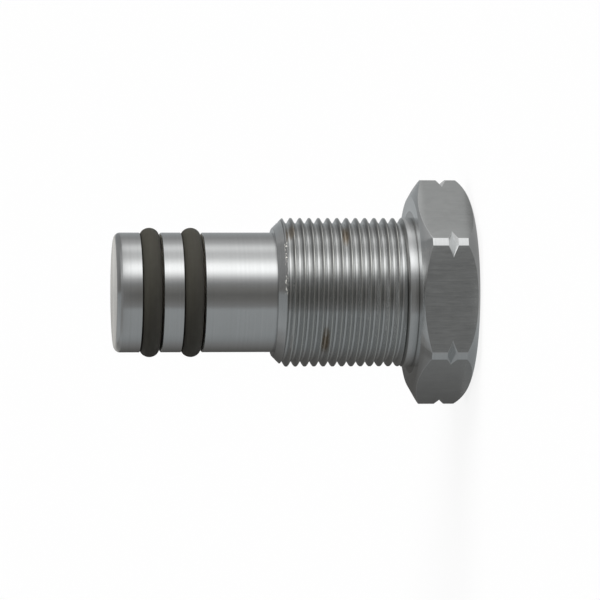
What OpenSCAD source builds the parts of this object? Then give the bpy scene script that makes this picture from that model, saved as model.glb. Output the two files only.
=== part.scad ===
// Blanking plug: one turned steel body with a sealing spigot, a threaded shank,
// a plain collar and a hexagon head, and two rubber O-rings in its grooves.
// The axis is Z. The plug stands on the outer face of its head, with the spigot up.

/* [Head] */
// Width across the flats of the hexagon
hex_af = 31.85; // [30:0.05:34]
// How far the turned corners stay below a sharp hexagon, on the diameter
corner_trim = 0.73; // [0.4:0.01:1.5]
// Height of the head, from its outer face to its bearing face
head_h = 9.4; // [7.5:0.1:14]
// Radius of the rounded edge round the outer face
outer_edge_r = 5.9; // [5:0.1:8]
// How far the rounded edge runs in from the turned corners, on the radius
outer_edge_run = 4.6; // [3:0.05:4.9]
// How far the bearing chamfer runs in from the turned corners, on the radius
bearing_chamfer_run = 2.65; // [1.5:0.05:3.5]
// Slope of the bearing chamfer against the face of the head
chamfer_angle = 30; // [15:1:35]
// Height of the left-hand mark, the V groove round the corners, above the outer face
mark_z = 4.6; // [4:0.1:5]
// Depth of the V groove, which has square sides
mark_depth = 0.78; // [0.3:0.01:1]

/* [Collar] */
// Diameter of the plain collar under the head
collar_d = 24; // [23.9:0.01:26]
// Width of the collar along the axis
collar_w = 1.45; // [0.8:0.05:3]
// Depth of the V groove where the thread runs out against the collar
runout_depth = 0.25; // [0.1:0.01:0.6]

/* [Thread] */
// Outside diameter of the thread
thread_d = 23.85; // [23:0.01:23.9]
// Length of the threaded shank, with its chamfer
thread_l = 20.8; // [12:0.1:40]
// How far the 45 degree chamfer at the start of the thread runs in, on the radius
start_chamfer = 1.62; // [1:0.01:1.9]

/* [Spigot] */
// Diameter of the plain sealing spigot
spigot_d = 19.15; // [18:0.05:19.2]
// Length of the spigot, from the thread to its free end
spigot_l = 25.4; // [20:0.1:50]
// Radius on the edge of the free end
spigot_edge_r = 1; // [0.3:0.05:2]
// Break on the lips of the grooves
lip_break = 0.12; // [0.05:0.01:0.3]

/* [O-rings] */
// Thickness of the cord of an O-ring
ring_section = 2.65; // [2:0.05:3.2]
// How far an O-ring stands out of the spigot
ring_proud = 0.83; // [0.5:0.01:1]
// Room that an O-ring has along its groove
ring_play = 0.63; // [0.3:0.01:1]
// Plain land between the free end and the front groove
front_land = 4.14; // [3:0.01:6]
// Plain land between the two grooves
middle_land = 3.33; // [2:0.01:5]
// Gap between an O-ring and the floor of its groove
seat_gap = 0.02; // [0.01:0.01:0.05]

/* [Hidden] */
$fn = 96;
hex_corner_r = hex_af / 2 / cos(30);
corner_r = hex_corner_r - corner_trim / 2;
outer_face_r = corner_r - outer_edge_run;
bearing_face_r = corner_r - bearing_chamfer_run;
outer_edge_h = outer_edge_r - sqrt(outer_edge_r * outer_edge_r - outer_edge_run * outer_edge_run);
bearing_chamfer_h = bearing_chamfer_run * tan(chamfer_angle);

collar_top = head_h + collar_w;
thread_top = collar_top + thread_l;
spigot_top = thread_top + spigot_l;
thread_r = thread_d / 2;
thread_start_r = thread_r - start_chamfer;
spigot_r = spigot_d / 2;

groove_w = ring_section + ring_play;
groove_floor_r = spigot_r + ring_proud - ring_section - seat_gap;
front_groove_z = spigot_top - front_land - groove_w;
rear_groove_z = front_groove_z - middle_land - groove_w;
ring_centre_r = groove_floor_r + seat_gap + ring_section / 2;

// Rounded edge of the outer face: an arc that leaves the face smoothly and meets the corner diameter
module outer_edge_outline() {
    intersection() {
        square([corner_r, outer_edge_h]);
        union() {
            square([outer_face_r, outer_edge_h]);
            translate([outer_face_r, outer_edge_r]) circle(r = outer_edge_r);
        }
    }
}

// Turned outline of the head: rounded edge, corner diameter, V groove and bearing chamfer
module head_outline() {
    outer_edge_outline();
    polygon([
        [0, outer_edge_h],
        [corner_r, outer_edge_h],
        [corner_r, mark_z - mark_depth],
        [corner_r - mark_depth, mark_z],
        [corner_r, mark_z + mark_depth],
        [corner_r, head_h - bearing_chamfer_h],
        [bearing_face_r, head_h],
        [0, head_h]
    ]);
}

// Hexagon bar with the turned outline cut on it, one flat facing -Y
module head() {
    intersection() {
        cylinder(r = hex_corner_r, h = head_h, $fn = 6);
        rotate_extrude() head_outline();
    }
}

// Collar, run-out groove and threaded shank with its start chamfer
module shank_outline() {
    polygon([
        [0, head_h / 2],
        [collar_d / 2, head_h / 2],
        [collar_d / 2, collar_top],
        [thread_r, collar_top],
        [thread_r - runout_depth, collar_top + runout_depth],
        [thread_r, collar_top + 2 * runout_depth],
        [thread_r, thread_top - start_chamfer],
        [thread_start_r, thread_top],
        [0, thread_top]
    ]);
}

// Plain spigot with its rounded free end, reaching down into the shank
module spigot_outline() {
    root_z = thread_top - start_chamfer;
    translate([0, root_z]) square([spigot_r, spigot_top - spigot_edge_r - root_z]);
    translate([0, root_z]) square([spigot_r - spigot_edge_r, spigot_top - root_z]);
    translate([spigot_r - spigot_edge_r, spigot_top - spigot_edge_r]) circle(r = spigot_edge_r);
}

// Section of one O-ring groove, with both lips broken at 45 degrees
module groove_section(z) {
    polygon([
        [groove_floor_r, z],
        [spigot_r - lip_break, z],
        [spigot_r + lip_break, z - 2 * lip_break],
        [spigot_r + lip_break, z + groove_w + 2 * lip_break],
        [spigot_r - lip_break, z + groove_w],
        [groove_floor_r, z + groove_w]
    ]);
}

module plug_body() {
    color([0.66, 0.68, 0.70]) union() {
        head();
        rotate_extrude() {
            shank_outline();
            difference() {
                spigot_outline();
                groove_section(front_groove_z);
                groove_section(rear_groove_z);
            }
        }
    }
}

// One O-ring, in the middle of the groove that starts at z
module o_ring(z) {
    color([0.17, 0.16, 0.14])
        translate([0, 0, z + groove_w / 2])
            rotate_extrude() translate([ring_centre_r, 0]) circle(d = ring_section);
}

module front_o_ring() {
    o_ring(front_groove_z);
}

module rear_o_ring() {
    o_ring(rear_groove_z);
}

plug_body();
front_o_ring();
rear_o_ring();
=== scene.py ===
import math

import bmesh
import bpy
from mathutils import Matrix, Vector


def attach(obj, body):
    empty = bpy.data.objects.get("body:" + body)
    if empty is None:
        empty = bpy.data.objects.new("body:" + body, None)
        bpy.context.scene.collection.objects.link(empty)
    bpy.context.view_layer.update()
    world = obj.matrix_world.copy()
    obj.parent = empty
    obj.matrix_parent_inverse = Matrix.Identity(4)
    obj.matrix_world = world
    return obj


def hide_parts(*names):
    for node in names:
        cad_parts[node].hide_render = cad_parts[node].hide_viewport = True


bl_info = {
    "name": "Blanking plug",
    "version": (1, 0, 0),
    "blender": (4, 5, 0),
    "location": "View3D > Sidebar > Blanking plug",
    "description": "Models the turned body, the O-rings and the studio of a blanking plug",
    "category": "Object",
}

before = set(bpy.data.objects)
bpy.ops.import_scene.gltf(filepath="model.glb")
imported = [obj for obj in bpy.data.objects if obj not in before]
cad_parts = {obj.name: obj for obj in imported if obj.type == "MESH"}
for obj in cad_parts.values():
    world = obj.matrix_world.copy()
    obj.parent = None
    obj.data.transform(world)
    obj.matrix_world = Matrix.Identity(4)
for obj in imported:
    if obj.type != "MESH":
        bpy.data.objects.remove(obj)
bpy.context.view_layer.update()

# Pieces are modelled in millimetres and brought to metres when they are finished.
MM = 0.001
# Straight steps in one full turn of the turned surfaces and of the thread
TURN_STEPS = 192
# Straight steps round the section of an O-ring
RING_STEPS = 40
# Slope in degrees of the bearing chamfer against the face of the head
BEARING_SLOPE = 30
# Slope in degrees of the thread's flanks against a section across the axis
FLANK_SLOPE = 30
# Small slopes at the root and at the crest of the thread groove
THREAD_BLEND = 0.06
# How far the cutter of the thread groove reaches out of the shank
CUTTER_REACH = 0.08
# How far the cutter lifts out at the collar, in depths of the thread
CUTTER_LIFT = 1.2
# Small break on the edges of the flats
FLAT_EDGE_BREAK = 0.035
# Edges of the body up to this angle in degrees are shaded smooth.
SMOOTH_ANGLE = 20
# Places of the body's two materials
TURNED, DRAWN = 0, 1


def length(name, description, default_mm):
    """A length that is shown in the scene's units and written here in millimetres."""
    return bpy.props.FloatProperty(
        name=name, description=description, default=default_mm * MM, unit="LENGTH", precision=5)


def colour(name, description, default):
    """A colour of one of the finishes."""
    return bpy.props.FloatVectorProperty(
        name=name, description=description, default=default, size=3, min=0, max=1, subtype="COLOR")


class PlugSizes(bpy.types.PropertyGroup):
    """Sizes of the plug"""
    head_height: length("Head height", "From the outer face of the head to its bearing face", 9.4)
    across_flats: length("Across flats", "Width of the hexagon across its flats", 31.85)
    corner_diameter: length("Corner diameter", "Diameter turned over the hexagon's corners", 36.047)
    outer_edge_radius: length("Outer edge", "Radius of the rounded edge round the outer face", 5.9)
    outer_edge_run: length("Outer edge run", "How far the rounded edge runs in", 4.6)
    bearing_chamfer_run: length("Bearing chamfer", "How far the bearing chamfer runs in", 2.65)
    mark_height: length("Mark height", "Height of the V groove round the corners", 4.6)
    mark_depth: length("Mark depth", "Depth of the V groove round the corners", 0.78)
    collar_diameter: length("Collar diameter", "Diameter of the plain collar", 24.0)
    collar_width: length("Collar width", "Width of the collar along the axis", 1.45)
    runout_depth: length("Run-out depth", "Depth of the groove between the thread and the collar", 0.25)
    thread_diameter: length("Thread diameter", "Outside diameter of the thread", 23.85)
    thread_length: length("Thread length", "Length of the threaded shank", 20.8)
    thread_pitch: length("Pitch", "Distance from one thread crest to the next", 1.5)
    thread_depth: length("Thread depth", "Depth of the thread groove", 0.84)
    root_width: length("Root width", "Width of the flat at the bottom of the thread groove", 0.28)
    crest_height: length("Crest height", "Height of one thread crest on the +X side", 30.19)
    start_chamfer: length("Start chamfer", "How far the chamfer at the thread's start runs in", 1.62)
    spigot_diameter: length("Spigot diameter", "Diameter of the plain spigot", 19.15)
    spigot_length: length("Spigot length", "From the thread to the free end", 25.4)
    spigot_edge: length("Spigot edge", "Radius on the edge of the free end", 1.0)
    front_land: length("Front land", "Plain land between the free end and the front groove", 4.14)
    middle_land: length("Middle land", "Plain land between the grooves", 3.33)
    groove_width: length("Groove width", "Width of an O-ring groove", 3.28)
    groove_floor: length("Groove floor", "Diameter of the floor of an O-ring groove", 15.47)
    edge_break: length("Edge break", "Small break on the turned edges", 0.12)
    ring_thickness: length("O-ring thickness", "Thickness of a stretched O-ring, on the radius", 2.58)
    ring_width: length("O-ring width", "Width along the axis of an O-ring pressed flat a little", 3.0)
    ring_shift: length("O-ring shift", "How far an O-ring lies from mid groove to the free end", 0.1)
    seat_gap: length("Seat gap", "Gap between an O-ring and the floor of its groove", 0.02)


class PlugFinish(bpy.types.PropertyGroup):
    """Colours of the plug and of the floor"""
    steel: colour("Turned steel", "Colour of the turned surfaces", (0.64, 0.65, 0.65))
    flats: colour("Drawn steel", "Colour of the hexagon's flats", (0.43, 0.44, 0.435))
    rubber: colour("Rubber", "Colour of the O-rings", (0.036, 0.034, 0.027))
    stain: colour("Stain", "Colour of the dried oil in the thread", (0.30, 0.25, 0.19))
    floor: colour("Floor", "Colour of the floor", (0.97, 0.97, 0.97))


def mm(value):
    """A length in metres as millimetres."""
    return value / MM


def collar_top(sizes):
    """Height where the collar ends and the threaded shank begins."""
    return mm(sizes.head_height + sizes.collar_width)


def thread_top(sizes):
    """Height where the threaded shank ends and the spigot begins."""
    return mm(sizes.head_height + sizes.collar_width + sizes.thread_length)


def free_end(sizes):
    """Height of the free end of the spigot."""
    return mm(sizes.head_height + sizes.collar_width + sizes.thread_length + sizes.spigot_length)


def groove_heights(sizes):
    """Lower walls of the front and the rear O-ring groove."""
    front = free_end(sizes) - mm(sizes.front_land + sizes.groove_width)
    return front, front - mm(sizes.middle_land + sizes.groove_width)


class Wire:
    """An output socket that can stand in a sum, where each operator adds its Math node."""

    def __init__(self, tree, socket):
        self.tree = tree
        self.socket = socket

    def math(self, operation, *values):
        node = self.tree.nodes.new("ShaderNodeMath")
        node.operation = operation
        for place, value in zip(node.inputs, values):
            if isinstance(value, Wire):
                self.tree.links.new(value.socket, place)
            else:
                place.default_value = value
        return Wire(self.tree, node.outputs[0])

    def at_most(self, limit):
        return self.math("MINIMUM", self, limit)

    def at_least(self, limit):
        return self.math("MAXIMUM", self, limit)

    def __add__(self, other):
        return self.math("ADD", self, other)

    def __radd__(self, other):
        return self.math("ADD", other, self)

    def __sub__(self, other):
        return self.math("SUBTRACT", self, other)

    def __rsub__(self, other):
        return self.math("SUBTRACT", other, self)

    def __mul__(self, other):
        return self.math("MULTIPLY", self, other)

    def __rmul__(self, other):
        return self.math("MULTIPLY", other, self)

    def __truediv__(self, other):
        return self.math("DIVIDE", self, other)

    def __pow__(self, other):
        return self.math("POWER", self, other)

    def __gt__(self, other):
        return self.math("GREATER_THAN", self, other)

    def __lt__(self, other):
        return self.math("LESS_THAN", self, other)


class Material:
    """A new material with its node tree, and one method that adds any node."""

    def __init__(self, name):
        self.material = bpy.data.materials.new(name)
        self.material.use_nodes = True
        self.tree = self.material.node_tree
        self.tree.nodes.clear()

    def node(self, kind, settings=None, inputs=None, output=0):
        """Adds a node, with its settings first. An output node gives no wire."""
        node = self.tree.nodes.new("ShaderNode" + kind)
        for key, value in (settings or {}).items():
            if key == "stops":
                self.set_stops(node.color_ramp, value)
            else:
                setattr(node, key, value)
        for key, value in (inputs or {}).items():
            if isinstance(value, Wire):
                self.tree.links.new(value.socket, node.inputs[key])
            else:
                node.inputs[key].default_value = value
        return Wire(self.tree, node.outputs[output]) if node.outputs else None

    def set_stops(self, ramp, stops):
        while len(ramp.elements) < len(stops):
            ramp.elements.new(1.0)
        for element, (place, value) in zip(ramp.elements, stops):
            element.position = place
            element.color = (*value, 1)

    def mix(self, factor, first, second):
        """Mixes two colours. Either can be a colour or a wire."""
        first, second = (c if isinstance(c, Wire) else (*c, 1) for c in (first, second))
        return self.node("Mix", {"data_type": "RGBA"}, {0: factor, 6: first, 7: second}, output=2)

    def place(self):
        """Object coordinates in millimetres, as x, y and z."""
        where = self.node("TexCoord", output=3)
        scaled = self.node("VectorMath", {"operation": "SCALE"}, {0: where, 3: 1 / MM})
        split = self.tree.nodes.new("ShaderNodeSeparateXYZ")
        self.tree.links.new(scaled.socket, split.inputs[0])
        return [Wire(self.tree, socket) for socket in split.outputs]

    def vector(self, x, y, z):
        return self.node("CombineXYZ", inputs={0: x, 1: y, 2: z})

    def noise(self, at, scale, detail, roughness):
        return self.node("TexNoise", inputs={
            "Vector": at, "Scale": scale, "Detail": detail, "Roughness": roughness})

    def rise(self, value, start, end):
        """0 where a value is at the start, rising to 1 at the end."""
        return self.node("MapRange", inputs={"Value": value, "From Min": start, "From Max": end})

    def fall(self, value, reach):
        """1 where a value is 0, falling to 0 at its reach."""
        return self.node("MapRange", inputs={
            "Value": value, "From Min": 0.0, "From Max": reach, "To Min": 1.0, "To Max": 0.0})

    def near_value(self, value, centre, reach):
        """1 where a value is at the centre, falling to 0 at its reach."""
        return self.fall(value.math("ABSOLUTE", value - centre), reach)

    def near_point(self, at, centre, reach):
        """1 at a point, falling to 0 at its reach. Points and reaches are (x, y, z) in millimetres."""
        x, y, z = ((axis - c) / r for axis, c, r in zip(at, centre, reach))
        return self.fall((x * x + y * y + z * z) ** 0.5, 1.0)

    def finish(self, shader):
        self.node("OutputMaterial", inputs={"Surface": shader})
        return self.material


def from_axis(x, y):
    """Distance from the plug's axis."""
    return (x * x + y * y) ** 0.5


def shades(tint, dark, light):
    """A darker and a lighter shade of a colour."""
    return [c * dark for c in tint], [c * light for c in tint]


def deselect_all():
    if bpy.context.mode != "OBJECT":
        bpy.ops.object.mode_set(mode="OBJECT")
    bpy.ops.object.select_all(action="DESELECT")


def edge_chain(name, points):
    """One chain of edges through points, extruded from a single vertex. Left in edit mode, all selected."""
    deselect_all()
    bpy.ops.mesh.primitive_plane_add(size=1, location=(0, 0, 0))
    chain = bpy.context.object
    chain.name = name
    bpy.ops.object.mode_set(mode="EDIT")
    bpy.ops.mesh.select_mode(type="VERT")
    bpy.ops.mesh.select_all(action="SELECT")
    bpy.ops.mesh.merge(type="CENTER")
    bpy.ops.transform.translate(value=points[0])
    for start, end in zip(points, points[1:]):
        bpy.ops.mesh.extrude_region_move(TRANSFORM_OT_translate={"value": end - start})
    bpy.ops.mesh.select_all(action="SELECT")
    return chain


def clean_mesh():
    """Merges doubles and turns the faces outward, in edit mode."""
    bpy.ops.mesh.select_all(action="SELECT")
    bpy.ops.mesh.remove_doubles(threshold=0.0005)
    bpy.ops.mesh.normals_make_consistent(inside=False)


def spun(name, outline, steps):
    """Spins an outline of (radius, height) points round the axis."""
    surface = edge_chain(name, [Vector((r, 0, z)) for r, z in outline])
    bpy.ops.mesh.spin(steps=steps, angle=math.tau, center=(0, 0, 0), axis=(0, 0, 1))
    clean_mesh()
    bpy.ops.object.mode_set(mode="OBJECT")
    return surface


def arc(centre_r, centre_z, radius, start, end, steps):
    """Points of an arc of the outline, with its angles in degrees from the radius direction."""
    angles = [math.radians(start + (end - start) * i / steps) for i in range(steps + 1)]
    return [(centre_r + radius * math.cos(a), centre_z + radius * math.sin(a)) for a in angles]


def cut(piece, tool, operation):
    """Applies an exact Boolean of piece with tool and removes the tool."""
    deselect_all()
    bpy.context.view_layer.objects.active = piece
    piece.select_set(True)
    modifier = piece.modifiers.new("cut", "BOOLEAN")
    modifier.object = tool
    modifier.operation = operation
    modifier.solver = "EXACT"
    bpy.ops.object.modifier_apply(modifier="cut")
    bpy.data.objects.remove(tool)


def to_metres(piece):
    """Brings a finished piece from millimetres to metres, with its place in its mesh."""
    deselect_all()
    piece.select_set(True)
    bpy.context.view_layer.objects.active = piece
    piece.scale = (MM, MM, MM)
    piece.location = piece.location * MM
    bpy.ops.object.transform_apply(location=True, rotation=True, scale=True)


def head_outline(sizes):
    """From the centre of the outer face to the bearing face, with the V groove round the corners."""
    corner, top = mm(sizes.corner_diameter) / 2, mm(sizes.head_height)
    edge, edge_run = mm(sizes.outer_edge_radius), mm(sizes.outer_edge_run)
    mark, depth = mm(sizes.mark_height), mm(sizes.mark_depth)
    run_in = mm(sizes.bearing_chamfer_run)
    edge_end = math.degrees(math.asin(edge_run / edge)) - 90
    return [(0, 0)] + arc(corner - edge_run, edge, edge, -90, edge_end, 14) + [
        (corner, mark - depth),
        (corner - depth, mark),
        (corner, mark + depth),
        (corner, top - run_in * math.tan(math.radians(BEARING_SLOPE))),
        (corner - run_in, top),
    ]


def shank_outline(sizes):
    """The collar, the run-out groove and the blank of the thread with its start chamfer."""
    bottom, top = collar_top(sizes), thread_top(sizes)
    collar, thread = mm(sizes.collar_diameter) / 2, mm(sizes.thread_diameter) / 2
    runout, chamfer, lip = mm(sizes.runout_depth), mm(sizes.start_chamfer), mm(sizes.edge_break)
    return [
        (collar, mm(sizes.head_height)),
        (collar, bottom - lip),
        (collar - lip, bottom),
        (thread - runout, bottom + runout),
        (thread, bottom + 2 * runout),
        (thread, top - chamfer),
        (thread - chamfer, top),
    ]


def spigot_outline(sizes):
    """The spigot with its two O-ring grooves and its rounded free end."""
    radius, floor = mm(sizes.spigot_diameter) / 2, mm(sizes.groove_floor) / 2
    top, edge, lip = free_end(sizes), mm(sizes.spigot_edge), mm(sizes.edge_break)
    points = [(radius, thread_top(sizes))]
    for start in sorted(groove_heights(sizes)):
        end = start + mm(sizes.groove_width)
        points += [
            (radius, start - lip),
            (radius - lip, start),
            (floor, start),
            (floor, end),
            (radius - lip, end),
            (radius, end + lip),
        ]
    return points + arc(radius - edge, top - edge, edge, 0, 90, 8) + [(0, top)]


def cut_hexagon(body, sizes):
    """Mills the six flats: the body is kept where it is inside a long hexagon bar."""
    deselect_all()
    corner = mm(sizes.across_flats) / 2 / math.cos(math.pi / 6)
    bar = 4 * free_end(sizes)
    bpy.ops.mesh.primitive_cylinder_add(
        vertices=6, radius=corner, depth=bar, location=(0, 0, 0), rotation=(0, 0, math.pi / 6))
    cut(body, bpy.context.object, "INTERSECT")


def on_flat(centre, normal, sizes):
    """True for a face with this centre and normal that lies on one of the six flats."""
    off = centre.dot(normal) - mm(sizes.across_flats) / 2
    return abs(normal.z) < 0.01 and abs(off) < 0.01


def break_flat_edges(body, sizes):
    """Breaks the edges of the flats by a hair, so that they catch the light."""
    deselect_all()
    bpy.context.view_layer.objects.active = body
    bpy.ops.object.mode_set(mode="EDIT")
    bpy.ops.mesh.select_mode(type="EDGE")
    clean_mesh()
    bpy.ops.mesh.select_all(action="DESELECT")
    mesh = bmesh.from_edit_mesh(body.data)
    for edge in mesh.edges:
        flats = [f for f in edge.link_faces if on_flat(f.calc_center_median(), f.normal, sizes)]
        edge.select_set(len(flats) == 1)
    bmesh.update_edit_mesh(body.data)
    bpy.ops.mesh.bevel(offset=FLAT_EDGE_BREAK, offset_type="OFFSET", segments=2, profile=0.6)
    bpy.ops.object.mode_set(mode="OBJECT")


def thread_section(sizes):
    """Points (radius, height) of the section of the thread groove, on both sides of its middle."""
    crest, depth = mm(sizes.thread_diameter) / 2, mm(sizes.thread_depth)
    root = mm(sizes.root_width) / 2
    flank = (depth - 2 * THREAD_BLEND) * math.tan(math.radians(FLANK_SLOPE))
    half = [
        (crest - depth, root),
        (crest - depth + THREAD_BLEND, root + THREAD_BLEND),
        (crest - THREAD_BLEND, root + THREAD_BLEND + flank),
        (crest + CUTTER_REACH, root + 2 * THREAD_BLEND + flank + CUTTER_REACH),
    ]
    return [(r, -z) for r, z in half] + [(r, z) for r, z in reversed(half)]


def thread_cutter(sizes):
    """A left-hand helix of the thread groove, from past the chamfer to the collar, where it lifts out."""
    pitch, bottom = mm(sizes.thread_pitch), collar_top(sizes)
    root_height = mm(sizes.crest_height) + pitch / 2
    start = root_height + pitch * math.ceil((thread_top(sizes) + pitch - root_height) / pitch)
    half_turns = math.floor((start - bottom) / pitch * 2) + 1
    cutter = edge_chain("thread_cutter", [Vector((r, 0, start + z)) for r, z in thread_section(sizes)])
    # A face closes the section, and its edges stay.
    bpy.ops.mesh.edge_face_add()
    bpy.ops.mesh.delete(type="ONLY_FACE")
    bpy.ops.object.mode_set(mode="OBJECT")
    corners, steps = len(cutter.data.vertices), TURN_STEPS // 2
    screw = cutter.modifiers.new("helix", "SCREW")
    screw.axis = "Z"
    screw.angle = math.pi
    screw.iterations = half_turns
    screw.screw_offset = -pitch / 2
    screw.steps = screw.render_steps = steps
    bpy.ops.object.modifier_apply(modifier="helix")
    lift_out(cutter, corners, (half_turns - 1) * steps, steps, mm(sizes.thread_depth) * CUTTER_LIFT)
    bpy.ops.object.mode_set(mode="EDIT")
    bpy.ops.mesh.select_all(action="SELECT")
    bpy.ops.mesh.fill_holes(sides=corners)
    clean_mesh()
    bpy.ops.object.mode_set(mode="OBJECT")
    return cutter


def lift_out(cutter, corners, first, steps, height):
    """Moves the cutter's sections outward, from 0 at the first one up to the height, steps further on."""
    for vertex in cutter.data.vertices:
        lift = max(0, vertex.index // corners - first) / steps
        out = 1 + lift * height / math.hypot(vertex.co.x, vertex.co.y)
        vertex.co.x *= out
        vertex.co.y *= out


def assign_flats(body, sizes, turned, drawn):
    """Gives the flats drawn steel and all other faces turned steel."""
    body.data.materials.clear()
    body.data.materials.append(turned)
    body.data.materials.append(drawn)
    for face in body.data.polygons:
        face.material_index = DRAWN if on_flat(face.center, face.normal, sizes) else TURNED


def shade_body(body):
    """Smooths the turned surfaces and keeps the flats plain, so that they reflect evenly."""
    bpy.ops.object.shade_smooth_by_angle(angle=math.radians(SMOOTH_ANGLE))
    for face in body.data.polygons:
        if face.material_index == DRAWN:
            face.use_smooth = False


def in_grooves(sizes, z, radius):
    """1 inside the O-ring grooves, a hair below their lips."""
    rear, front = sorted(groove_heights(sizes))
    below_lips, margin = 0.16, 0.1
    inside = radius < mm(sizes.spigot_diameter) / 2 - below_lips
    return inside * (z > rear - margin) * (z < front + mm(sizes.groove_width) + margin)


def darken_corners(steel, sizes, z, radius, shaded):
    """Darkens the end face of the thread, and paints shade into its run-out and the foot of the collar."""
    head, bottom, top = mm(sizes.head_height), collar_top(sizes), thread_top(sizes)
    crest, spigot = mm(sizes.thread_diameter) / 2, mm(sizes.spigot_diameter) / 2
    end_face = (radius > spigot + 0.02) * (z > top - 0.05)
    # Painted shade in the run-out groove and in the corner at the foot of the collar
    runout = steel.near_value(z, bottom + 0.2, 0.3) * (radius < crest + 0.01) * 2.0
    foot = (z > head - 0.05) * (z < head + 0.07) * (radius < crest + 1.1)
    # The end face of the thread is made darker
    shaded = steel.mix(end_face * 0.6, shaded, (0.2, 0.2, 0.2))
    return steel.mix((runout + foot).at_most(0.7), shaded, (0.12, 0.12, 0.11))


def thread_tones(steel, sizes, at, radius, phase, oil, shaded):
    """Painted shade inside the thread, patchy with the oil noise, darker crests, and on the +X side painted
    shade on one flank and a painted highlight on the other.
    """
    x, _, z = at
    crest = mm(sizes.thread_diameter) / 2
    root = crest - mm(sizes.thread_depth)
    on_thread = (radius > root - 0.05) * (z > collar_top(sizes) + 0.9) * (z < thread_top(sizes) - 1.2)
    # Painted shade inside the thread groove, below the crests, patchy with the oil noise
    painted_thread_shade = (radius < crest - 0.05) * (0.05 + oil * 0.28)
    turn = phase.math("FRACT", phase)
    # On the +X side, painted shade on one flank and a painted highlight on the other
    side = steel.rise(x, 1.5, 5.0)
    painted_shade_flank = (steel.near_value(turn, 0.13, 0.17) * 1.5).at_most(1.0) * side
    painted_highlight_flank = (steel.near_value(turn, 0.80, 0.24) * 2.5).at_most(1.0) * side
    shaded = steel.mix(on_thread * painted_thread_shade, shaded, (0.30, 0.30, 0.28))
    shaded = steel.mix(on_thread * painted_shade_flank * 0.85, shaded, (0.15, 0.15, 0.15))
    shaded = steel.mix(on_thread * painted_highlight_flank * 0.1, shaded, (0.95, 0.95, 0.95))
    # Darker crests
    return steel.mix(on_thread * (radius > crest - 0.07) * 0.35, shaded, (0.38, 0.38, 0.34))


def crest_nick_glints(steel, sizes, at, radius, phase):
    """Small nicks on the first crest of the thread, on the -Y side, painted as bright glints."""
    x, y, z = at
    specks = (steel.noise(steel.vector(x, y, z), 3.2, 3.0, 0.7) - 0.575).at_least(0.0) * 40.0
    near_crest = (radius > mm(sizes.thread_diameter) / 2 - 0.8) * steel.near_value(phase, -0.08, 0.2)
    return (near_crest * (y < -8.0) * (x > 0.5) * specks).at_most(0.85)


# Stains of dried oil in the thread: the middle and the reach of each, both (x, y, z)
STAINS = (
    ((-7.6, -8.6, 24.0), (3.6, 3.6, 0.75)),
    ((9.92, -5.81, 20.55), (3.2, 3.2, 0.7)),
    ((9.86, -5.53, 29.15), (2.4, 2.4, 0.6)),
)
# Painted shade in the O-ring grooves
PAINTED_GROOVE_SHADE = (0.22, 0.205, 0.165)
# Painted glint on a nick, a bright colour without metal that stands in for the light it catches
PAINTED_GLINT = (1.0, 0.97, 0.88)


def turned_steel(name, sizes, finish):
    """Bright turned steel: rings round the axis, painted shade in the grooves, at the thread's run-out, at
    the collar's foot and in the thread, painted flank highlights and nick glints, and dried oil in the
    thread.
    """
    steel = Material(name)
    at = steel.place()
    x, y, z = at
    here, radius = steel.vector(x, y, z), from_axis(x, y)
    rings = steel.vector(radius, 0.0, z)
    fine = steel.noise(rings, 9.0, 3.0, 0.6)
    lines = steel.noise(rings, 2.6, 3.0, 0.7)
    mottle = steel.noise(here, 0.35, 3.0, 0.55)
    oil = steel.noise(here, 1.7, 3.0, 0.6)
    # Turns of the left-hand thread: whole numbers lie on its crest, and 0 is the crest of crest_height.
    phase = (z - mm(sizes.crest_height)) / mm(sizes.thread_pitch) + y.math("ARCTAN2", y, x) / math.tau
    grooves = in_grooves(sizes, z, radius)
    nick_glints = crest_nick_glints(steel, sizes, at, radius, phase)
    stained = sum(steel.near_point(at, centre, reach) for centre, reach in STAINS) * oil * 3.0
    shaded = steel.mix(fine * 0.3 + lines * 0.5 + mottle * 0.2, *shades(finish.steel, 0.80, 1.12))
    # Painted shade in the O-ring grooves, where the steel also loses its metal and turns rougher
    shaded = steel.mix(grooves, shaded, PAINTED_GROOVE_SHADE)
    shaded = darken_corners(steel, sizes, z, radius, shaded)
    shaded = thread_tones(steel, sizes, at, radius, phase, oil, shaded)
    # Painted glints on the nicks of the first crest
    shaded = steel.mix(nick_glints, shaded, PAINTED_GLINT)
    shaded = steel.mix(stained.at_most(0.85), shaded, finish.stain)
    bump = steel.node("Bump", inputs={
        "Strength": 0.15, "Distance": 0.00002, "Height": fine + lines * 0.6})
    shader = steel.node("BsdfPrincipled", inputs={
        "Base Color": shaded,
        "Metallic": 1.0 - (nick_glints + grooves).at_most(1.0),
        "Roughness": 0.12 + fine * 0.07 + mottle * 0.04 + grooves * 0.3,
        "Anisotropic": 0.75,
        "Anisotropic Rotation": 0.25,
        "Normal": bump,
    })
    return steel.finish(shader)


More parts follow.
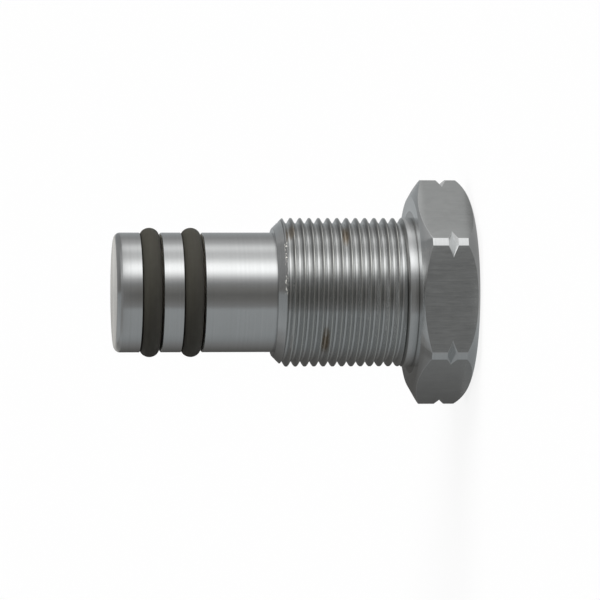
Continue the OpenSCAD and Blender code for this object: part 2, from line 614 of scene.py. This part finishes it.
def drawn_steel(name, sizes, tint):
    """The hexagon's flats: cold drawn bar with lines along the axis, streaks and a soft mottle."""
    steel = Material(name)
    x, y, z = steel.place()
    lines = steel.noise(steel.vector(x, y, z * 0.03), 6.0, 3.0, 0.65)
    mottle = steel.noise(steel.vector(x, y, z), 0.5, 4.0, 0.6)
    streaks = steel.noise(steel.vector(x, y, z * 0.12), 2.6, 3.0, 0.7)
    # The flat that faces -Y is the streaky one.
    streaky = y < 0.2 - mm(sizes.across_flats) / 2
    streaks = 0.5 + (streaks - 0.5) * (0.35 + streaky * 1.25)
    shaded = steel.mix(lines * 0.3 + streaks * 0.4 + mottle * 0.3, *shades(tint, 0.55, 1.25))
    bump = steel.node("Bump", inputs={
        "Strength": 0.3, "Distance": 0.00002, "Height": lines + streaks + mottle * 0.4})
    shader = steel.node("BsdfPrincipled", inputs={
        "Base Color": shaded,
        "Metallic": 1.0,
        "Roughness": 0.20 + mottle * 0.10,
        "Anisotropic": 0.6,
        "Normal": bump,
    })
    return steel.finish(shader)


def seal_rubber(name, tint):
    """Matt black rubber with a fine grain, a little dust and faint lines round the ring."""
    rubber = Material(name)
    x, y, z = rubber.place()
    here = rubber.vector(x, y, z)
    grain = rubber.noise(here, 9.0, 3.0, 0.6)
    dust = rubber.noise(here, 1.1, 4.0, 0.65)
    lines = rubber.noise(rubber.vector(from_axis(x, y), 0.0, z), 5.0, 3.0, 0.7)
    shaded = rubber.mix(grain * 0.3 + dust * 0.3 + lines * 0.4, *shades(tint, 0.5, 1.45))
    bump = rubber.node("Bump", inputs={"Strength": 0.35, "Distance": 0.00004, "Height": grain})
    shader = rubber.node("BsdfPrincipled", inputs={
        "Base Color": shaded,
        "Roughness": 0.55 + grain * 0.2,
        "Specular IOR Level": 0.3,
        "Normal": bump,
    })
    return rubber.finish(shader)


def o_ring(name, sizes, groove):
    """An O-ring, pressed flat a little, in the groove whose lower wall is at this height."""
    deselect_all()
    thickness, width = mm(sizes.ring_thickness), mm(sizes.ring_width)
    height = groove + mm(sizes.groove_width) / 2 + mm(sizes.ring_shift)
    bpy.ops.mesh.primitive_torus_add(
        major_radius=mm(sizes.groove_floor / 2 + sizes.seat_gap) + thickness / 2,
        minor_radius=thickness / 2, major_segments=TURN_STEPS, minor_segments=RING_STEPS,
        location=(0, 0, height))
    ring = bpy.context.object
    ring.name = name
    bpy.ops.object.mode_set(mode="EDIT")
    bpy.ops.mesh.select_all(action="SELECT")
    bpy.ops.transform.resize(value=(1, 1, width / thickness), center_override=(0, 0, height))
    bpy.ops.object.mode_set(mode="OBJECT")
    return ring


class PLUG_OT_body(bpy.types.Operator):
    """Models the turned body with its thread and hexagon, in place of the CAD body"""
    bl_idname = "plug.body"
    bl_label = "Turned body"

    def execute(self, context):
        sizes, finish = context.scene.plug_sizes, context.scene.plug_finish
        outline = head_outline(sizes) + shank_outline(sizes) + spigot_outline(sizes)
        body = spun("turned_body", outline, TURN_STEPS)
        cut_hexagon(body, sizes)
        break_flat_edges(body, sizes)
        cut(body, thread_cutter(sizes), "DIFFERENCE")
        turned = turned_steel("turned_steel", sizes, finish)
        drawn = drawn_steel("drawn_steel", sizes, finish.flats)
        assign_flats(body, sizes, turned, drawn)
        to_metres(body)
        shade_body(body)
        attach(body, "root")
        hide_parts("plug_body")
        return {"FINISHED"}


class PLUG_OT_seals(bpy.types.Operator):
    """Models one O-ring and copies it, in place of the two CAD rings"""
    bl_idname = "plug.seals"
    bl_label = "O-rings"

    def execute(self, context):
        sizes = context.scene.plug_sizes
        front, rear = groove_heights(sizes)
        front_seal = o_ring("front_seal", sizes, front)
        front_seal.data.materials.append(seal_rubber("black_rubber", context.scene.plug_finish.rubber))
        bpy.ops.object.duplicate()
        rear_seal = context.object
        rear_seal.name = "rear_seal"
        bpy.ops.transform.translate(value=(0, 0, rear - front))
        for seal, node in ((front_seal, "front_o_ring"), (rear_seal, "rear_o_ring")):
            to_metres(seal)
            bpy.ops.object.shade_smooth()
            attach(seal, "root")
            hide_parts(node)
        return {"FINISHED"}


class PLUG_OT_stage(bpy.types.Operator):
    """Builds the floor, the panels that the steel reflects, the lamps and the camera"""
    bl_idname = "plug.stage"
    bl_label = "Studio"

    def execute(self, context):
        add_floor(context.scene.plug_finish.floor)
        add_reflections(context.scene.plug_sizes)
        add_lamps()
        add_camera()
        context.scene.view_settings.view_transform = "Standard"
        return {"FINISHED"}


# Radius of the floor in metres, and how far it lies below the plug, so that their faces don't meet
FLOOR_RADIUS, FLOOR_DROP = 6, 0.00002
# How much of the floor is plain white to the camera, and to steel that mirrors it
FLOOR_SEEN, FLOOR_MIRRORED = 0.87, 0.4


def add_floor(tint):
    """A pale floor that keeps the plug's shadow."""
    deselect_all()
    bpy.ops.mesh.primitive_circle_add(
        vertices=96, radius=FLOOR_RADIUS, fill_type="NGON", location=(0, 0, -FLOOR_DROP))
    floor = bpy.context.object
    floor.name = "floor"
    paint = Material("pale_floor")
    lit = paint.node("BsdfDiffuse", inputs={"Color": (*tint, 1)})
    white = paint.node("Emission", inputs={"Color": (1, 1, 1, 1), "Strength": 1.0})
    camera_ray, glossy_ray, transmission_ray = (paint.node("LightPath", output=i) for i in (0, 3, 6))
    plain = camera_ray * FLOOR_SEEN + (glossy_ray + transmission_ray) * FLOOR_MIRRORED
    floor.data.materials.append(paint.finish(paint.node("MixShader", inputs={0: plain, 1: lit, 2: white})))


# Tints of the soft panels
COOL = (0.96, 1.0, 1.02)
PLAIN = (1.0, 1.0, 1.0)
WARM = (1.0, 0.985, 0.95)
# Brightness of the panels that the shank and the spigot show, by the angle in degrees round the axis.
# 0 is on the camera's side, and 90 is on the side that is up in the image.
SHANK_PANELS = (
    (-180, 0.90, PLAIN), (-172, 0.80, PLAIN), (-163, 0.10, WARM), (-143, 0.09, WARM), (-127, 0.13, WARM),
    (-105, 0.22, PLAIN), (-89, 0.30, COOL), (-76, 0.34, COOL), (-29, 0.37, COOL), (-23, 0.24, PLAIN),
    (-12, 0.175, WARM), (-4, 0.155, WARM), (6, 0.21, WARM), (14, 0.28, PLAIN), (21, 0.50, PLAIN),
    (27, 0.90, PLAIN), (33, 1.35, PLAIN), (39, 1.55, PLAIN), (46, 1.45, PLAIN), (53, 1.10, PLAIN),
    (60, 0.80, PLAIN), (69, 0.72, PLAIN), (76, 0.85, PLAIN), (82, 0.95, PLAIN), (88, 0.80, PLAIN),
    (96, 0.54, PLAIN), (112, 0.34, PLAIN), (130, 0.36, COOL), (163, 0.46, COOL), (172, 0.85, PLAIN),
    (180, 0.90, PLAIN),
)
# The same beside the head
HEAD_PANELS = (
    (-180, 0.20, WARM), (-130, 0.11, WARM), (-108, 0.135, WARM), (-92, 0.22, PLAIN), (-76, 0.30, PLAIN),
    (-66, 0.30, COOL), (-42, 0.34, COOL), (-32, 0.33, PLAIN), (-22, 0.30, PLAIN), (10, 0.30, PLAIN),
    (16, 0.34, PLAIN), (22, 0.5, PLAIN), (28, 1.1, PLAIN), (34, 1.2, PLAIN), (42, 1.1, PLAIN),
    (54, 0.8, PLAIN), (66, 0.68, PLAIN), (92, 0.68, PLAIN), (110, 0.58, PLAIN), (180, 0.20, PLAIN),
)
# The same beside the collar
COLLAR_PANELS = (
    (-180, 0.20, WARM), (-130, 0.11, WARM), (-108, 0.135, WARM), (-92, 0.22, PLAIN), (-76, 0.30, PLAIN),
    (-66, 0.30, COOL), (-42, 0.34, COOL), (-22, 0.30, PLAIN), (10, 0.30, PLAIN), (22, 0.55, PLAIN),
    (27, 0.90, PLAIN), (33, 1.35, PLAIN), (39, 1.55, PLAIN), (46, 1.45, PLAIN), (53, 1.10, PLAIN),
    (60, 0.80, PLAIN), (69, 0.76, PLAIN), (76, 0.85, PLAIN), (82, 0.95, PLAIN), (88, 0.80, PLAIN),
    (96, 0.64, PLAIN), (110, 0.58, PLAIN), (180, 0.20, PLAIN),
)
# The panels round the foot of the plug, which the rounded outer edge of the head shows
FLOOR_PANELS = (
    (-180, 0.30, WARM), (-108, 0.24, WARM), (-90, 0.30, PLAIN), (-50, 0.27, COOL), (-36, 0.30, COOL),
    (-22, 0.38, COOL), (-12, 0.42, PLAIN), (0, 0.38, PLAIN), (12, 0.33, PLAIN), (25, 0.31, PLAIN),
    (36, 0.34, PLAIN), (60, 0.38, PLAIN), (80, 0.46, PLAIN), (110, 0.54, PLAIN), (180, 0.30, PLAIN),
)
# The panels above the free end of the spigot
END_PANELS = (
    (-180, 0.58, WARM), (-174, 0.535, WARM), (-152, 0.46, WARM), (-136, 0.25, WARM), (-112, 0.22, PLAIN),
    (-100, 0.28, PLAIN), (-90, 0.33, COOL), (-60, 0.27, PLAIN), (-10, 0.24, PLAIN), (10, 0.24, PLAIN),
    (30, 0.50, PLAIN), (60, 0.40, PLAIN), (90, 0.27, PLAIN), (110, 0.25, PLAIN), (148, 0.26, COOL),
    (160, 0.62, WARM), (170, 0.64, WARM), (180, 0.60, WARM),
)
# The panels over the plug
LID_PANELS = (
    (-180, 0.30, PLAIN), (-95, 0.38, COOL), (-75, 0.37, COOL), (-38, 0.325, COOL), (-5, 0.30, COOL),
    (5, 0.19, WARM), (12, 0.19, WARM), (35, 0.205, PLAIN), (54, 0.24, PLAIN), (76, 0.26, PLAIN),
    (100, 0.28, PLAIN), (180, 0.30, PLAIN),
)
# Radii of the walls of panels: round the head and the collar, and round the shank and the spigot
HEAD_WALL, SHANK_WALL = 23, 32
# Radius of the hole in the disc of panels that lies just over the floor, and the height of that disc
DISC_HOLE, DISC_HEIGHT = 14, -0.01
# Heights where the head's panels end, where the collar's end and where the shank's begin
HEAD_WALL_TOP, COLLAR_WALL_TOP, SHANK_WALL_FOOT = 7, 8.5, 6
# How far the lid of panels lies over the free end
LID_GAP = 18
# Brightness that the ramps hold at full white
PANEL_RANGE = 2.0


def add_panels(name, start, end, levels):
    """A wall or disc of soft panels close to the plug, turned from start to end, both (radius, height).
    Only reflections show it, and it lights nothing else."""
    panels = spun(name, (start, end), 96)
    to_metres(panels)
    glow = Material(name)
    x, y, _ = glow.place()
    turn = math.radians(CAMERA_TURN)
    up = x * math.cos(turn) + y * math.sin(turn)
    near = x * math.sin(turn) - y * math.cos(turn)
    around = up.math("ARCTAN2", up, near) / math.tau + 0.5
    stops = [
        (degrees / 360 + 0.5, [level * c / PANEL_RANGE for c in tint]) for degrees, level, tint in levels
    ]
    level = glow.node("ValToRGB", {"stops": stops}, {"Fac": around})
    shader = glow.node("Emission", inputs={"Color": level, "Strength": PANEL_RANGE})
    panels.data.materials.append(glow.finish(shader))
    panels.visible_camera = False
    panels.visible_diffuse = False
    panels.visible_shadow = False
    panels.visible_transmission = False


def add_reflections(sizes):
    """The soft panels that the bare steel shows, from the floor up."""
    end = free_end(sizes)
    lid = end + LID_GAP
    add_panels("floor_panels", (DISC_HOLE, DISC_HEIGHT), (HEAD_WALL, DISC_HEIGHT), FLOOR_PANELS)
    add_panels("head_panels", (HEAD_WALL, 0), (HEAD_WALL, HEAD_WALL_TOP), HEAD_PANELS)
    add_panels("collar_panels", (HEAD_WALL, HEAD_WALL_TOP), (HEAD_WALL, COLLAR_WALL_TOP), COLLAR_PANELS)
    add_panels("shank_panels", (SHANK_WALL, SHANK_WALL_FOOT), (SHANK_WALL, end), SHANK_PANELS)
    add_panels("end_panels", (SHANK_WALL, end), (SHANK_WALL, lid), END_PANELS)
    add_panels("lid_panels", (0, lid), (SHANK_WALL, lid), LID_PANELS)


def add_lamp(name, direction, brightness, spread):
    """A wide lamp far away. Its brightness is what a white surface that faces it gains."""
    bpy.ops.object.light_add(type="SUN", location=direction)
    lamp = bpy.context.object
    lamp.name = name
    lamp.rotation_euler = Vector(direction).to_track_quat("Z", "Y").to_euler()
    lamp.data.energy = brightness * math.pi
    lamp.data.angle = math.radians(spread)
    lamp.visible_glossy = False


def add_lamps():
    """Even light from the world, a lamp overhead and one on the side that is up in the image."""
    world = bpy.data.worlds.new("studio")
    world.use_nodes = True
    background = world.node_tree.nodes["Background"]
    background.inputs["Color"].default_value = (1, 1, 1, 1)
    background.inputs["Strength"].default_value = 0.09
    bpy.context.scene.world = world
    add_lamp("overhead", (0, 0, 1), brightness=0.45, spread=40)
    add_lamp("side", (1, -0.3, 0.35), brightness=1.35, spread=60)


# Degrees that the camera is turned round the axis
CAMERA_TURN = 4.1
# Degrees that it is lifted towards the free end of the spigot
CAMERA_LIFT = 6.24
# Its distance in metres
CAMERA_DISTANCE = 0.629
# The image's up direction is turned this far from +X.
IMAGE_UP_TURN = 3.3
# Height in metres of the point at the centre of the image
TARGET_HEIGHT = 0.02711
# How far that point lies from the axis in the image's up direction, in metres
TARGET_UP = -0.00124
# Focal length and width of the sensor, in millimetres
CAMERA_LENS, SENSOR_WIDTH = 235.2, 36


def add_camera():
    """The photograph's view: from the side, with the spigot pointing left."""
    turn, lift, up_turn = (math.radians(a) for a in (CAMERA_TURN, CAMERA_LIFT, IMAGE_UP_TURN))
    back = Vector((math.sin(turn) * math.cos(lift), -math.cos(turn) * math.cos(lift), math.sin(lift)))
    image_up = Vector((math.cos(up_turn), math.sin(up_turn), 0))
    right = image_up.cross(back).normalized()
    up = back.cross(right)
    target = Vector((0, 0, TARGET_HEIGHT)) + image_up * TARGET_UP
    pose = Matrix((right, up, back)).transposed().to_4x4()
    pose.translation = target + back * CAMERA_DISTANCE
    bpy.ops.object.camera_add()
    camera = bpy.context.object
    camera.matrix_world = pose
    camera.data.lens = CAMERA_LENS
    camera.data.sensor_width = SENSOR_WIDTH
    camera.data.clip_start = 0.01
    camera.data.clip_end = 50
    bpy.context.scene.camera = camera


class PLUG_PT_panel(bpy.types.Panel):
    """Lists the plug's operators"""
    bl_label = "Blanking plug"
    bl_idname = "PLUG_PT_panel"
    bl_space_type = "VIEW_3D"
    bl_region_type = "UI"
    bl_category = "Blanking plug"

    def draw(self, context):
        for operator in OPERATORS:
            self.layout.operator(operator.bl_idname)


OPERATORS = (PLUG_OT_body, PLUG_OT_seals, PLUG_OT_stage)
CLASSES = (PlugSizes, PlugFinish, *OPERATORS, PLUG_PT_panel)


def register():
    for cls in CLASSES:
        bpy.utils.register_class(cls)
    bpy.types.Scene.plug_sizes = bpy.props.PointerProperty(type=PlugSizes)
    bpy.types.Scene.plug_finish = bpy.props.PointerProperty(type=PlugFinish)


def unregister():
    del bpy.types.Scene.plug_finish
    del bpy.types.Scene.plug_sizes
    for cls in reversed(CLASSES):
        bpy.utils.unregister_class(cls)


def main():
    register()
    bpy.ops.plug.body()
    bpy.ops.plug.seals()
    bpy.ops.plug.stage()


if __name__ == "__main__":
    main()
